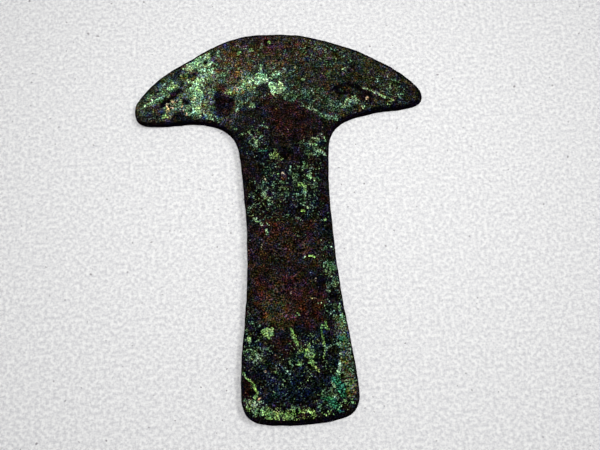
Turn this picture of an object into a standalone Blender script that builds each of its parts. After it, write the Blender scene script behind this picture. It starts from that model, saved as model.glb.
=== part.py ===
"""Ceremonial tumi knife, cast and hammered in one piece from copper alloy.

It lies on its flat back. X runs across the crescent blade, Y up the shank towards the
cutting edge, and Z up out of the face. Outline points are first laid out from the
shank's centre line and the lowest point of the foot. The finished knife is then moved
so that the origin is the middle of its box, at the level that it lies on.
"""

import math

import bmesh
import bpy
import numpy as np
from mathutils import Vector
from mathutils.geometry import delaunay_2d_cdt, interpolate_bezier

# Shank: a flat bar, narrowest at the neck and flaring down to a blunt foot.
# Heights are measured up from the lowest point of the foot, and the two shoulders out
# from the shank's centre line and down from the wings' underside.
SHANK_LENGTH = 0.1024
FOOT_WIDTH = 0.0358
FOOT_WIDEST_HEIGHT = 0.0080
FOOT_BOW = 0.0009
LEFT_CORNER_RADIUS = 0.0062
RIGHT_CORNER_RADIUS = 0.0056
FLARE_WIDTH = 0.0301
FLARE_HEIGHT = 0.0395
NECK_WIDTH = 0.0275
NECK_HEIGHT = 0.0670
LEFT_SHOULDER = 0.0145
RIGHT_SHOULDER = 0.0141
SHOULDER_DROP = 0.0183

# Crescent blade: reaches are measured from the shank's centre line, and rises from the
# level of the wings' underside, which is the shank's length above the foot.
BLADE_DEPTH = 0.0326
CROWN_OFFSET = 0.0048
LEFT_REACH = 0.0493
RIGHT_REACH = 0.0477
LEFT_TIP_RISE = 0.0054
RIGHT_TIP_RISE = 0.0053
LEFT_TIP_RADIUS = 0.0052
RIGHT_TIP_RADIUS = 0.0036
RIGHT_WING_LIFT = 0.0012
LEFT_FILLET_RADIUS = 0.0122
RIGHT_FILLET_RADIUS = 0.0098

# Thickness: fullest at the neck, drawn down by hammering towards the cutting edge.
FOOT_THICKNESS = 0.0046
NECK_THICKNESS = 0.0050
BLADE_THICKNESS = 0.0044
CUTTING_EDGE_THICKNESS = 0.0017
TAPER_DEPTH = 0.0170
BACK_BEVEL_DEPTH = 0.0040
BACK_BEVEL_RISE = 0.0004
LEFT_TIP_LIFT = 0.0008
LEFT_TIP_BEND_START = 0.0300

# Edges: the face falls away softly at the rim, and both rims are worn round, by no more
# than these shares of the metal where it is thin.
RIM_WIDTH = 0.0032
RIM_DROP = 0.0005
FACE_ARRIS_RADIUS = 0.0009
BACK_ARRIS_RADIUS = 0.0004
FACE_ARRIS_SHARE = 0.5
BACK_ARRIS_SHARE = 0.4

# Facets of the solid. Points of a row or a grid that come nearer to the outline than
# these shares of their inset or pitch are left out.
OUTLINE_STEP = 0.0022
TURN_STEP_DEG = 12.0
ARRIS_STEPS = 2
RIM_FACET = 0.0012
FACE_GRID = 0.0026
BACK_GRID = 0.0070
ROW_CLEAR_SHARE = 0.98
GRID_CLEAR_SHARE = 0.6
MERGE_DISTANCE = 1e-7
CREASE_ANGLE_DEG = 35.0

# Patina of the copper alloy.
PATINA_BROWN = (0.075, 0.055, 0.035, 1.0)
PATINA_ROUGHNESS = 0.62
PATINA_METALLIC = 0.35


def left_side_knots():
    """Down the left side: (x, y, heading in degrees) from the crown to the foot's middle."""
    level = SHANK_LENGTH
    reach = LEFT_REACH
    rise = BLADE_DEPTH
    tip = LEFT_TIP_RADIUS
    fillet = LEFT_FILLET_RADIUS
    corner = LEFT_CORNER_RADIUS
    shoulder = LEFT_SHOULDER
    foot = FOOT_WIDTH / 2
    return [
        (-CROWN_OFFSET, level + rise, 180),
        (-0.455 * reach, level + 0.880 * rise, 205),
        (-0.613 * reach, level + 0.741 * rise, 212),
        (-0.695 * reach, level + 0.672 * rise, 209),
        (-0.842 * reach, level + 0.513 * rise, 222),
        (-0.965 * reach, level + 0.300 * rise, 234),
        (-reach, level + LEFT_TIP_RISE, 270),
        (-reach + 0.21 * tip, level + LEFT_TIP_RISE - 0.77 * tip, 316),
        (-reach + tip, level, 355),
        (-shoulder - 1.11 * fillet, level - 0.01 * fillet, 355),
        (-shoulder - 0.74 * fillet, level - 0.09 * fillet, 341),
        (-shoulder - 0.32 * fillet, level - 0.36 * fillet, 313),
        (-shoulder - 0.074 * fillet, level - 0.87 * fillet, 282),
        (-shoulder, level - SHOULDER_DROP, 274),
        (-NECK_WIDTH / 2, NECK_HEIGHT, 270),
        (-FLARE_WIDTH / 2, FLARE_HEIGHT, 264.5),
        (-foot, FOOT_WIDEST_HEIGHT, 270),
        (-foot + 0.32 * corner, FOOT_BOW + 0.29 * corner, 317),
        (-foot + corner, FOOT_BOW, 349),
    ]


def right_side_knots():
    """Up the right side: (x, y, heading in degrees) from the foot's middle to the crown."""
    level = SHANK_LENGTH
    reach = RIGHT_REACH
    rise = BLADE_DEPTH
    tip = RIGHT_TIP_RADIUS
    fillet = RIGHT_FILLET_RADIUS
    corner = RIGHT_CORNER_RADIUS
    shoulder = RIGHT_SHOULDER
    foot = FOOT_WIDTH / 2
    lift = RIGHT_WING_LIFT
    return [
        (0.0, 0.0, 0),
        (foot - corner, 1.2 * FOOT_BOW, 13),
        (foot - 0.31 * corner, FOOT_BOW + 0.36 * corner, 46),
        (foot, FOOT_WIDEST_HEIGHT, 91),
        (FLARE_WIDTH / 2, FLARE_HEIGHT, 95.5),
        (NECK_WIDTH / 2, NECK_HEIGHT, 90),
        (shoulder, level - SHOULDER_DROP, 84),
        (shoulder + 0.115 * fillet, level - 0.93 * fillet, 78),
        (shoulder + 0.41 * fillet, level - 0.40 * fillet, 40),
        (shoulder + 1.06 * fillet, level - 0.11 * fillet, 16),
        (0.705 * reach, level + 0.58 * lift, 7),
        (reach - 1.39 * tip, level + 1.38 * lift, 12),
        (reach - 0.25 * tip, level + RIGHT_TIP_RISE - 0.59 * tip, 42),
        (reach, level + RIGHT_TIP_RISE, 92),
        (0.935 * reach, level + 0.345 * rise, 133),
        (0.710 * reach, level + 0.613 * rise, 147),
        (0.369 * reach, level + 0.868 * rise, 159.5),
        (0.090 * reach, level + 0.978 * rise, 171.5),
    ]


def handle_length(chord, turn):
    """Handles of this length bend a Bezier span into very nearly a circular arc."""
    return chord / (3 * math.cos(turn / 4) ** 2)


def span_points(start, end):
    """Points along the smooth span from one knot to the next, without its last point."""
    here, there = Vector((start[0], start[1], 0)), Vector((end[0], end[1], 0))
    turn = math.radians((end[2] - start[2] + 180) % 360 - 180)
    reach = handle_length((there - here).length, turn)
    out = Vector((math.cos(math.radians(start[2])), math.sin(math.radians(start[2])), 0))
    back = Vector((math.cos(math.radians(end[2])), math.sin(math.radians(end[2])), 0))
    by_length = (there - here).length / OUTLINE_STEP
    by_turn = abs(math.degrees(turn)) / TURN_STEP_DEG
    pieces = max(1, math.ceil(by_length), math.ceil(by_turn))
    points = interpolate_bezier(here, here + out * reach, there - back * reach, there, pieces + 1)
    return points[:-1]


def outline():
    """The outline, anticlockwise from the crown, and a flag for each point on the cutting edge."""
    knots = left_side_knots() + right_side_knots()
    across = [knot[0] for knot in knots]
    left_tip = across.index(min(across))
    right_tip = across.index(max(across))
    points = []
    sharp = []
    for number, knot in enumerate(knots):
        span = span_points(knot, knots[(number + 1) % len(knots)])
        points += [(p.x, p.y) for p in span]
        sharp += [number < left_tip or number >= right_tip] * len(span)
    return np.array(points), np.array(sharp)


def inward_normals(points):
    """Unit normals at the points of an anticlockwise outline, pointing into it."""
    along = np.roll(points, -1, axis=0) - np.roll(points, 1, axis=0)
    normals = np.stack([-along[:, 1], along[:, 0]], axis=1)
    return normals / np.linalg.norm(normals, axis=1)[:, None]


def distance_to_segments(points, starts, ends):
    """Distance in the plane from each point to the nearest of the segments."""
    along = ends - starts
    offset = points[:, None, :] - starts[None, :, :]
    share = (offset * along).sum(axis=2) / (along * along).sum(axis=1)
    nearest = starts + np.clip(share, 0, 1)[:, :, None] * along
    return np.linalg.norm(points[:, None, :] - nearest, axis=2).min(axis=1)


def inside(points, ring):
    """Which of the points lie inside the closed outline, by counting crossings."""
    after = np.roll(ring, -1, axis=0)
    x, y = points[:, :1], points[:, 1:]
    crosses = (ring[:, 1] > y) != (after[:, 1] > y)
    height = np.where(after[:, 1] == ring[:, 1], 1.0, after[:, 1] - ring[:, 1])
    at = ring[:, 0] + (y - ring[:, 1]) * (after[:, 0] - ring[:, 0]) / height
    return (crosses & (x < at)).sum(axis=1) % 2 == 1


class Section:
    """Heights of the back and the face over every point of the outline's plan."""

    def __init__(self, ring, sharp):
        self.starts = ring
        self.ends = np.roll(ring, -1, axis=0)
        self.edge_starts = self.starts[sharp]
        self.edge_ends = self.ends[sharp]

    def back(self, points):
        """Height of the back: flat, eased up behind the cutting edge and at the bent left tip."""
        from_edge = distance_to_segments(points, self.edge_starts, self.edge_ends)
        bevel = np.clip(1 - from_edge / BACK_BEVEL_DEPTH, 0, 1) ** 2
        past_start = -points[:, 0] - LEFT_TIP_BEND_START
        bend = np.clip(past_start / (LEFT_REACH - LEFT_TIP_BEND_START), 0, 1)
        return BACK_BEVEL_RISE * bevel + LEFT_TIP_LIFT * bend**2

    def body_thickness(self, heights):
        """Thickness of the metal at each height above the foot, before the blade is drawn down."""
        crown = SHANK_LENGTH + BLADE_DEPTH
        stations = [0.0, NECK_HEIGHT, SHANK_LENGTH, crown]
        sizes = [FOOT_THICKNESS, NECK_THICKNESS, BLADE_THICKNESS, BLADE_THICKNESS]
        return np.interp(heights, stations, sizes)

    def thickness(self, points):
        """Metal between the back and the face: thin at the cutting edge, and lower round the rim."""
        body = self.body_thickness(points[:, 1]) - CUTTING_EDGE_THICKNESS
        from_edge = distance_to_segments(points, self.edge_starts, self.edge_ends)
        taper = 1 - np.clip(1 - from_edge / TAPER_DEPTH, 0, 1) ** 2
        from_rim = distance_to_segments(points, self.starts, self.ends)
        drop = RIM_DROP * np.clip(1 - from_rim / RIM_WIDTH, 0, 1) ** 2
        return CUTTING_EDGE_THICKNESS + (body - drop) * taper


def rim_loops(ring, section):
    """The worn rim as closed loops of points, from the flat of the back up to the face."""
    normals = inward_normals(ring)
    thickness = section.thickness(ring)
    base = section.back(ring)
    lower = np.minimum(BACK_ARRIS_RADIUS, BACK_ARRIS_SHARE * thickness)
    upper = np.minimum(FACE_ARRIS_RADIUS, FACE_ARRIS_SHARE * thickness)
    angles = [math.pi / 2 * k / ARRIS_STEPS for k in range(ARRIS_STEPS + 1)]
    rows = [(lower * (1 - math.sin(a)), lower * (1 - math.cos(a))) for a in angles]
    rows += [(upper * (1 - math.cos(a)), thickness - upper * (1 - math.sin(a))) for a in angles]
    return [
        np.column_stack([ring + normals * inset[:, None], base + height]) for inset, height in rows
    ]


def sheet_points(ring, section, insets, grid):
    """Points inside the rim: rows that follow it at each inset, then a grid of triangles."""
    normals = inward_normals(ring)
    found = []
    for inset in insets:
        moved = ring + normals * inset
        from_rim = distance_to_segments(moved, section.starts, section.ends)
        found.append(moved[(from_rim > ROW_CLEAR_SHARE * inset) & inside(moved, ring)])
    low, high = ring.min(axis=0), ring.max(axis=0)
    pitch = grid * math.sqrt(3) / 2
    columns = np.arange(low[0], high[0], grid)
    lines = np.arange(low[1], high[1], pitch)
    lattice = np.array([(x + grid / 2 * (n % 2), y) for n, y in enumerate(lines) for x in columns])
    lattice = lattice[inside(lattice, ring)]
    from_rim = distance_to_segments(lattice, section.starts, section.ends)
    clear = from_rim > insets[-1] + GRID_CLEAR_SHARE * grid
    return np.concatenate([*found, lattice[clear]])


def add_sheet(mesh, border, points, upward):
    """Closes a loop of vertices with a sheet of triangles through the given points."""
    flat = [Vector((v.co.x, v.co.y)) for v in border] + [Vector((p[0], p[1])) for p in points]
    loop = [(n, (n + 1) % len(border)) for n in range(len(border))]
    inner_only = 1
    made = delaunay_2d_cdt(flat, loop, [], inner_only, MERGE_DISTANCE)
    vertices = list(border) + [mesh.verts.new(p) for p in points]
    sources = made[3]
    for face in made[2]:
        corners = [vertices[sources[n][0]] for n in face]
        mesh.faces.new(corners if upward else corners[::-1])


def knife_mesh():
    """One closed skin: the worn rim, the face above it and the flat back below."""
    ring, sharp = outline()
    section = Section(ring, sharp)
    mesh = bmesh.new()
    loops = [[mesh.verts.new(p) for p in loop] for loop in rim_loops(ring, section)]
    count = len(ring)
    for below, above in zip(loops, loops[1:]):
        for n in range(count):
            m = (n + 1) % count
            mesh.faces.new((below[n], below[m], above[m], above[n]))
    rim_rows = max(1, round((RIM_WIDTH - FACE_ARRIS_RADIUS) / RIM_FACET))
    face_insets = np.linspace(FACE_ARRIS_RADIUS, RIM_WIDTH, rim_rows + 1)[1:]
    face = sheet_points(ring, section, face_insets, FACE_GRID)
    face_heights = section.back(face) + section.thickness(face)
    add_sheet(mesh, loops[-1], np.column_stack([face, face_heights]), upward=True)
    back = sheet_points(ring, section, [BACK_BEVEL_DEPTH], BACK_GRID)
    add_sheet(mesh, loops[0], np.column_stack([back, section.back(back)]), upward=False)
    middle = (ring.min(axis=0) + ring.max(axis=0)) / 2
    bmesh.ops.translate(mesh, verts=mesh.verts, vec=(-middle[0], -middle[1], 0))
    bmesh.ops.triangulate(mesh, faces=mesh.faces)
    return mesh


def patinated_copper():
    """Dark, dull copper alloy under its patina."""
    material = bpy.data.materials.new("patinated_copper")
    material.use_nodes = True
    shader = material.node_tree.nodes["Principled BSDF"]
    shader.inputs["Base Color"].default_value = PATINA_BROWN
    shader.inputs["Roughness"].default_value = PATINA_ROUGHNESS
    shader.inputs["Metallic"].default_value = PATINA_METALLIC
    return material


def main():
    for old in list(bpy.data.objects):
        bpy.data.objects.remove(old)
    built = knife_mesh()
    data = bpy.data.meshes.new("tumi_knife")
    built.to_mesh(data)
    built.free()
    data.materials.append(patinated_copper())
    data.shade_smooth()
    data.set_sharp_from_angle(angle=math.radians(CREASE_ANGLE_DEG))
    knife = bpy.data.objects.new("tumi_knife", data)
    bpy.context.scene.collection.objects.link(knife)


main()
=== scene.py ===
import math

import bmesh
import bpy
import numpy as np
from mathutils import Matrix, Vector, kdtree, noise
from mathutils.bvhtree import BVHTree
from mathutils.geometry import delaunay_2d_cdt


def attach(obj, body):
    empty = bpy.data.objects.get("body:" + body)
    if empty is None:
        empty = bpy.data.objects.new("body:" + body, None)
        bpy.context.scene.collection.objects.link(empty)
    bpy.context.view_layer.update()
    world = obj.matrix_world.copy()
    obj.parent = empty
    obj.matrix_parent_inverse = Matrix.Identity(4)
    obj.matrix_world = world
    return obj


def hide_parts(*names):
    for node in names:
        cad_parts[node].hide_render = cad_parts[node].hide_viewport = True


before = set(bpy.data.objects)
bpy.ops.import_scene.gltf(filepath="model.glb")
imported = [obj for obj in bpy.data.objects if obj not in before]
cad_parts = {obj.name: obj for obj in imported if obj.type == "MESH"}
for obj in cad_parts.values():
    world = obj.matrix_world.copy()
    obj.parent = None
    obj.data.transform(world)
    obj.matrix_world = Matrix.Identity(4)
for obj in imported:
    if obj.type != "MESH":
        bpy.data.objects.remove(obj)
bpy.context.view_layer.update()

# The knife's form. One piece of copper alloy, cast as a flat blank and hammered out thin
# towards the outer edge of the crescent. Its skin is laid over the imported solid: a fine
# sheet on the face, a coarser one on the back, and rows of points round the worn rim.
MM = 0.001
RIM_STEP = 0.42 * MM
FACE_PITCH = 0.30 * MM
BACK_PITCH = 0.62 * MM
FACE_ARRIS = 0.90 * MM
BACK_ARRIS = 0.40 * MM
FACE_ARRIS_ROWS = 5
BACK_ARRIS_ROWS = 2
WALL_ROWS = 6
BORDER_INSET = 1.20 * MM
LEAST_INSET = 0.04 * MM
WELD = 0.001 * MM
WALL_SLOPE = 0.1
OUTLINE_EASES = 5
FACET_EASES = 24
FAR = 1.0

shell = bmesh.new()
shell.from_mesh(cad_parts["tumi_knife"].data)
bmesh.ops.remove_doubles(shell, verts=shell.verts, dist=WELD)
shell.verts.index_update()
shell.verts.ensure_lookup_table()
shell.normal_update()
solid = BVHTree.FromBMesh(shell)


def foot_of_wall():
    """The outline in plan: the loop of edges where the upright rim meets the back's arris."""
    neighbours = {}
    for edge in shell.edges:
        slopes = [face.normal.z for face in edge.link_faces]
        if min(slopes) < -WALL_SLOPE and abs(max(slopes)) < WALL_SLOPE:
            first, second = edge.verts
            neighbours.setdefault(first.index, []).append(second.index)
            neighbours.setdefault(second.index, []).append(first.index)
    loop = [next(iter(neighbours))]
    loop.append(neighbours[loop[0]][0])
    while loop[-1] != loop[0]:
        first, second = neighbours[loop[-1]]
        loop.append(second if first == loop[-2] else first)
    return np.array([shell.verts[index].co.xy for index in loop])


def even_ring(loop):
    """The closed loop as evenly stepped points, anticlockwise, with its corners eased."""
    x, y = loop.T
    if (x[:-1] * y[1:] - x[1:] * y[:-1]).sum() < 0:
        loop = loop[::-1]
    run = np.concatenate([[0], np.cumsum(np.linalg.norm(np.diff(loop, axis=0), axis=1))])
    count = round(run[-1] / RIM_STEP)
    at = np.arange(count) * run[-1] / count
    points = np.column_stack([np.interp(at, run, loop[:, axis]) for axis in (0, 1)])
    for _ in range(OUTLINE_EASES):
        points = (np.roll(points, 1, axis=0) + 2 * points + np.roll(points, -1, axis=0)) / 4
    return points


def level(x, y, side):
    """Height of the solid's face (side 1) or back (side -1) at a point in plan, None outside it."""
    hit = solid.ray_cast(Vector((x, y, side * FAR)), Vector((0, 0, -side)))[0]
    return None if hit is None else hit.z


def row(inset, side):
    """The outline moved in by this much and laid on the solid's face or back."""
    plan = ring + inward * inset
    heights = []
    for x, y in ring + inward * max(inset, LEAST_INSET):
        height = level(x, y, side)
        if height is None:
            height = solid.find_nearest((x, y, side * FAR))[0].z
        heights.append(height)
    return np.column_stack([plan, heights])


def sheet(pitch):
    """Points of a triangular grid over the plan, clear of the rows round the rim."""
    low, high = ring.min(axis=0), ring.max(axis=0)
    rise = pitch * math.sqrt(3) / 2
    clear = BORDER_INSET + pitch / 2
    kept = []
    for line in range(math.ceil((high[1] - low[1]) / rise)):
        y = low[1] + line * rise
        for x in np.arange(low[0] + line % 2 * pitch / 2, high[0], pitch):
            if nearest.find((x, y, 0))[2] > clear and level(x, y, 1) is not None:
                kept.append((x, y))
    return kept


def capped(border, inner, first_inner):
    """Triangles that fill a closed border through the inner points, by vertex number."""
    count = len(border)
    flat = [Vector(point[:2]) for point in border] + [Vector(point) for point in inner]
    rim = [(n, (n + 1) % count) for n in range(count)]
    _, _, faces, sources, _, _ = delaunay_2d_cdt(flat, rim, [], 1, WELD / 10)
    numbers = [source[0] for source in sources]
    numbers = [n if n < count else n - count + first_inner for n in numbers]
    return [[numbers[corner] for corner in face] for face in faces]


ring = even_ring(foot_of_wall())
along = np.roll(ring, -1, axis=0) - np.roll(ring, 1, axis=0)
inward = np.column_stack([-along[:, 1], along[:, 0]]) / np.linalg.norm(along, axis=1)[:, None]
nearest = kdtree.KDTree(len(ring))
for number, (x, y) in enumerate(ring):
    nearest.insert((x, y, 0), number)
nearest.balance()

rows = [row(BORDER_INSET, -1)]
for step in range(BACK_ARRIS_ROWS):
    turn = math.pi / 2 * step / BACK_ARRIS_ROWS
    rows.append(row(BACK_ARRIS * (1 - math.sin(turn)), -1))
wall_foot, wall_top = row(0, -1), row(0, 1)
for step in range(WALL_ROWS):
    rows.append(wall_foot + (wall_top - wall_foot) * step / (WALL_ROWS - 1))
for step in range(1, FACE_ARRIS_ROWS + 1):
    turn = math.pi / 2 * step / FACE_ARRIS_ROWS
    rows.append(row(FACE_ARRIS * (1 - math.cos(turn)), 1))
rows.append(row(BORDER_INSET, 1))

count = len(ring)
face_plan, back_plan = sheet(FACE_PITCH), sheet(BACK_PITCH)
first_face = count * len(rows)
first_back = first_face + len(face_plan)
points = np.vstack(
    [
        *rows,
        [(x, y, level(x, y, 1)) for x, y in face_plan],
        [(x, y, level(x, y, -1)) for x, y in back_plan],
    ]
)
faces = []
for lower in range(0, count * (len(rows) - 1), count):
    for n in range(count):
        m = (n + 1) % count
        faces.append((lower + n, lower + m, lower + count + m, lower + count + n))
top_row = count * (len(rows) - 1)
for face in capped(rows[-1], face_plan, first_face):
    faces.append([n + top_row if n < count else n for n in face])
for face in capped(rows[0], back_plan, first_back):
    faces.append(face[::-1])
shell.free()

skin = bpy.data.meshes.new("knife")
skin.from_pydata(points, [], faces)
knife = bpy.data.objects.new("knife", skin)
bpy.context.scene.collection.objects.link(knife)

# The solid's facets are eased out of the sheets, but not out of the rim's arrises.
links = np.empty(2 * len(skin.edges), np.int32)
skin.edges.foreach_get("vertices", links)
one, other = links.reshape(-1, 2).T
total = len(skin.vertices)
degree = np.bincount(one, minlength=total) + np.bincount(other, minlength=total)
closest = [nearest.find((x, y, 0)) for x, y, _ in points]
from_rim = np.array([distance for _, _, distance in closest])
# 1 where the rim faces the foot's end, -1 where it faces the crown.
rim_faces_down = np.array([inward[number, 1] for _, number, _ in closest])
free = from_rim > FACE_ARRIS


def eased(values, rounds, where=1.0):
    """Values at the skin's points, each drawn halfway to its neighbours' mean, so many times."""
    for _ in range(rounds):
        near = np.bincount(one, values[other], total) + np.bincount(other, values[one], total)
        values = values + where * (near / degree - values) / 2
    return values


points[:, 2] = eased(points[:, 2], FACET_EASES, free)
skin.vertices.foreach_set("co", points.ravel())
skin.update()

# Patina and crust. Centuries in the ground turned the copper brown and black, and left
# patches of green and buff corrosion standing on it. Every patch is placed in millimetres
# on the face, from the middle of the knife, and noise breaks up its edge.
place = points / MM
spots = [Vector(point) for point in place]
normals = np.empty(3 * total)
skin.vertices.foreach_get("normal", normals)
normals = normals.reshape(-1, 3)
# By the upright part of its normal, the skin is side under the first of these, and face or
# back over the second.
SIDE_UNDER, FLAT_OVER = 0.6, 0.95
WANDER_SIZE, FINE_WANDER_SIZE = 3.2, 1.0
WANDER, FINE_WANDER = 0.55, 0.22


def smooth_step(low, high, values):
    """0 below low, 1 above high, and a smooth rise between them."""
    share = np.clip((values - low) / (high - low), 0, 1)
    return share * share * (3 - 2 * share)


def rough(size, octaves, seed):
    """Even-handed noise over the skin, with lumps of about this size in mm and a spread of 1."""
    shift = Vector((seed * 31.7, seed * 12.9, seed * 7.3))
    values = [noise.fractal(spot / size + shift, 1.0, 2.0, octaves) for spot in spots]
    values = np.array(values)
    return (values - values.mean()) / values.std()


def wander(seed):
    """How far in mm the edge of a patch strays one way, at each point of the skin."""
    broad, small = rough(WANDER_SIZE, 2, seed), rough(FINE_WANDER_SIZE, 2, seed + 1)
    return WANDER * broad + FINE_WANDER * small


on_face = smooth_step(SIDE_UNDER, FLAT_OVER, normals[:, 2])
on_back = smooth_step(SIDE_UNDER, FLAT_OVER, -normals[:, 2])
on_side = 1 - on_face - on_back
wander_x, wander_y = wander(1), wander(3)
coarse_fleck = rough(1.5, 2, 5)
fine_fleck = rough(0.75, 2, 6)

# A daub is whole out to the first of these shares of its size, and gone at the second. One
# whose half width and half height add up to FULL_SWAY mm or more strays with the whole wander.
DAUB_WHOLE, DAUB_GONE = 0.55, 1.45
FULL_SWAY = 6


def daubs(*shapes):
    """Cover by soft ovals on the face: (x, y, half width, half height, degrees, strength)."""
    cover = np.zeros(total)
    for x, y, half_width, half_height, turn, strength in shapes:
        cosine, sine = math.cos(math.radians(turn)), math.sin(math.radians(turn))
        sway = min(1, (half_width + half_height) / FULL_SWAY)
        x_off = place[:, 0] + sway * wander_x - x
        y_off = place[:, 1] + sway * wander_y - y
        across = (cosine * x_off + sine * y_off) / half_width
        up = (cosine * y_off - sine * x_off) / half_height
        gone = smooth_step(DAUB_WHOLE, DAUB_GONE, np.hypot(across, up))
        cover = np.maximum(cover, strength * (1 - gone))
    return cover * on_face


# Lines and flakes stray less than daubs, but their edges are chipped.
LINE_SWAY = 0.25
COARSE_CHIP, FINE_CHIP = 0.16, 0.14
x_drawn = place[:, 0] + LINE_SWAY * wander_x
y_drawn = place[:, 1] + LINE_SWAY * wander_y
chipped = COARSE_CHIP * coarse_fleck + FINE_CHIP * fine_fleck
# How deep inside its edge a line is gone and whole, in shares of its half width, and a flake,
# in mm.
LINE_GONE, LINE_WHOLE = -0.4, 0.5
FLAKE_GONE, FLAKE_WHOLE = -0.35, 0.45


def gap_to(start, end):
    """Distance in mm from each point of the skin to the line between two points of the face."""
    (x_from, y_from), (x_to, y_to) = start, end
    x_run, y_run = x_to - x_from, y_to - y_from
    share = (x_drawn - x_from) * x_run + (y_drawn - y_from) * y_run
    share = np.clip(share / (x_run**2 + y_run**2), 0, 1)
    return np.hypot(x_drawn - x_from - share * x_run, y_drawn - y_from - share * y_run)


def strokes(*shapes):
    """Cover by chipped lines on the face: (half width, strength, then each point as x, y)."""
    cover = np.zeros(total)
    for half_width, strength, *route in shapes:
        for start, end in zip(route, route[1:]):
            depth = 1 - gap_to(start, end) * (1 + chipped) / half_width
            cover = np.maximum(cover, strength * smooth_step(LINE_GONE, LINE_WHOLE, depth))
    return cover * on_face


def fields(*shapes):
    """Cover by flakes with chipped edges on the face: (strength, then each corner as x, y)."""
    cover = np.zeros(total)
    for strength, *corners in shapes:
        gap, inside = np.full(total, np.inf), np.zeros(total, bool)
        for start, end in zip(corners, corners[1:] + corners[:1]):
            gap = np.minimum(gap, gap_to(start, end))
            (x_from, y_from), (x_to, y_to) = start, end
            if y_from != y_to:
                x_cut = x_from + (y_drawn - y_from) * (x_to - x_from) / (y_to - y_from)
                inside ^= ((y_from > y_drawn) != (y_to > y_drawn)) & (x_drawn < x_cut)
        depth = np.where(inside, gap, -gap) + chipped
        cover = np.maximum(cover, strength * smooth_step(FLAKE_GONE, FLAKE_WHOLE, depth))
    return cover * on_face


def most(*covers):
    """The strongest of several covers at each point."""
    return np.maximum.reduce(covers)


def tone(red, green, blue):
    """A colour given as 0 to 255, in the linear values that a shader takes."""
    shares = np.array([red, green, blue]) / 255
    return np.where(shares <= 0.04045, shares / 12.92, ((shares + 0.055) / 1.055) ** 2.4)


def stained(metal, colour, cover):
    """The metal's colours, dyed with this one as far as it is covered."""
    share = np.clip(cover, 0, 1)[:, None]
    return metal * (1 - share) + tone(*colour) * share


# Cracks and hollows. They are stained dark, the dust is gone from them, and the deeper ones
# are sunk in the relief.
LEFT_CRACK = ((-39.3, 41.2), (-38.4, 41.8), (-36.4, 43.5), (-34.6, 45.3), (-33, 46.3))
LEFT_NICK = ((-32, 42.2), (-30.4, 41.1))
RIGHT_CRACK = ((18, 43.2), (20.4, 44.4), (23.6, 45), (26.4, 43.8), (28.6, 42.2), (31.6, 40))
HOLLOW = (
    (-21.8, 37), (-21.4, 40.4), (-21.8, 43.4), (-20.4, 45), (-17.4, 43.4), (-15.2, 42), (-15, 39),
    (-17, 35.4), (-20, 35.4),
)
LEFT_LOW_EDGE = (
    (-36.6, 35), (-35.4, 37.6), (-33.4, 38.8), (-31.6, 37.8), (-29.6, 36.2), (-28, 34.6),
)
left_crack = strokes((1.1, 1, *LEFT_CRACK))
right_cracks = strokes(
    (0.8, 1, *RIGHT_CRACK),
    (0.7, 1, (19.6, 42.6), (21, 41.6), (23.6, 41.4)),
    (0.9, 0.9, (27.4, 40.8), (28.4, 38.9), (31, 38.4)),
    (0.7, 0.9, (31.6, 43.3), (33.6, 42.4)),
    (0.4, 0.8, (26, 52.8), (24.2, 50.2)),
)

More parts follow.
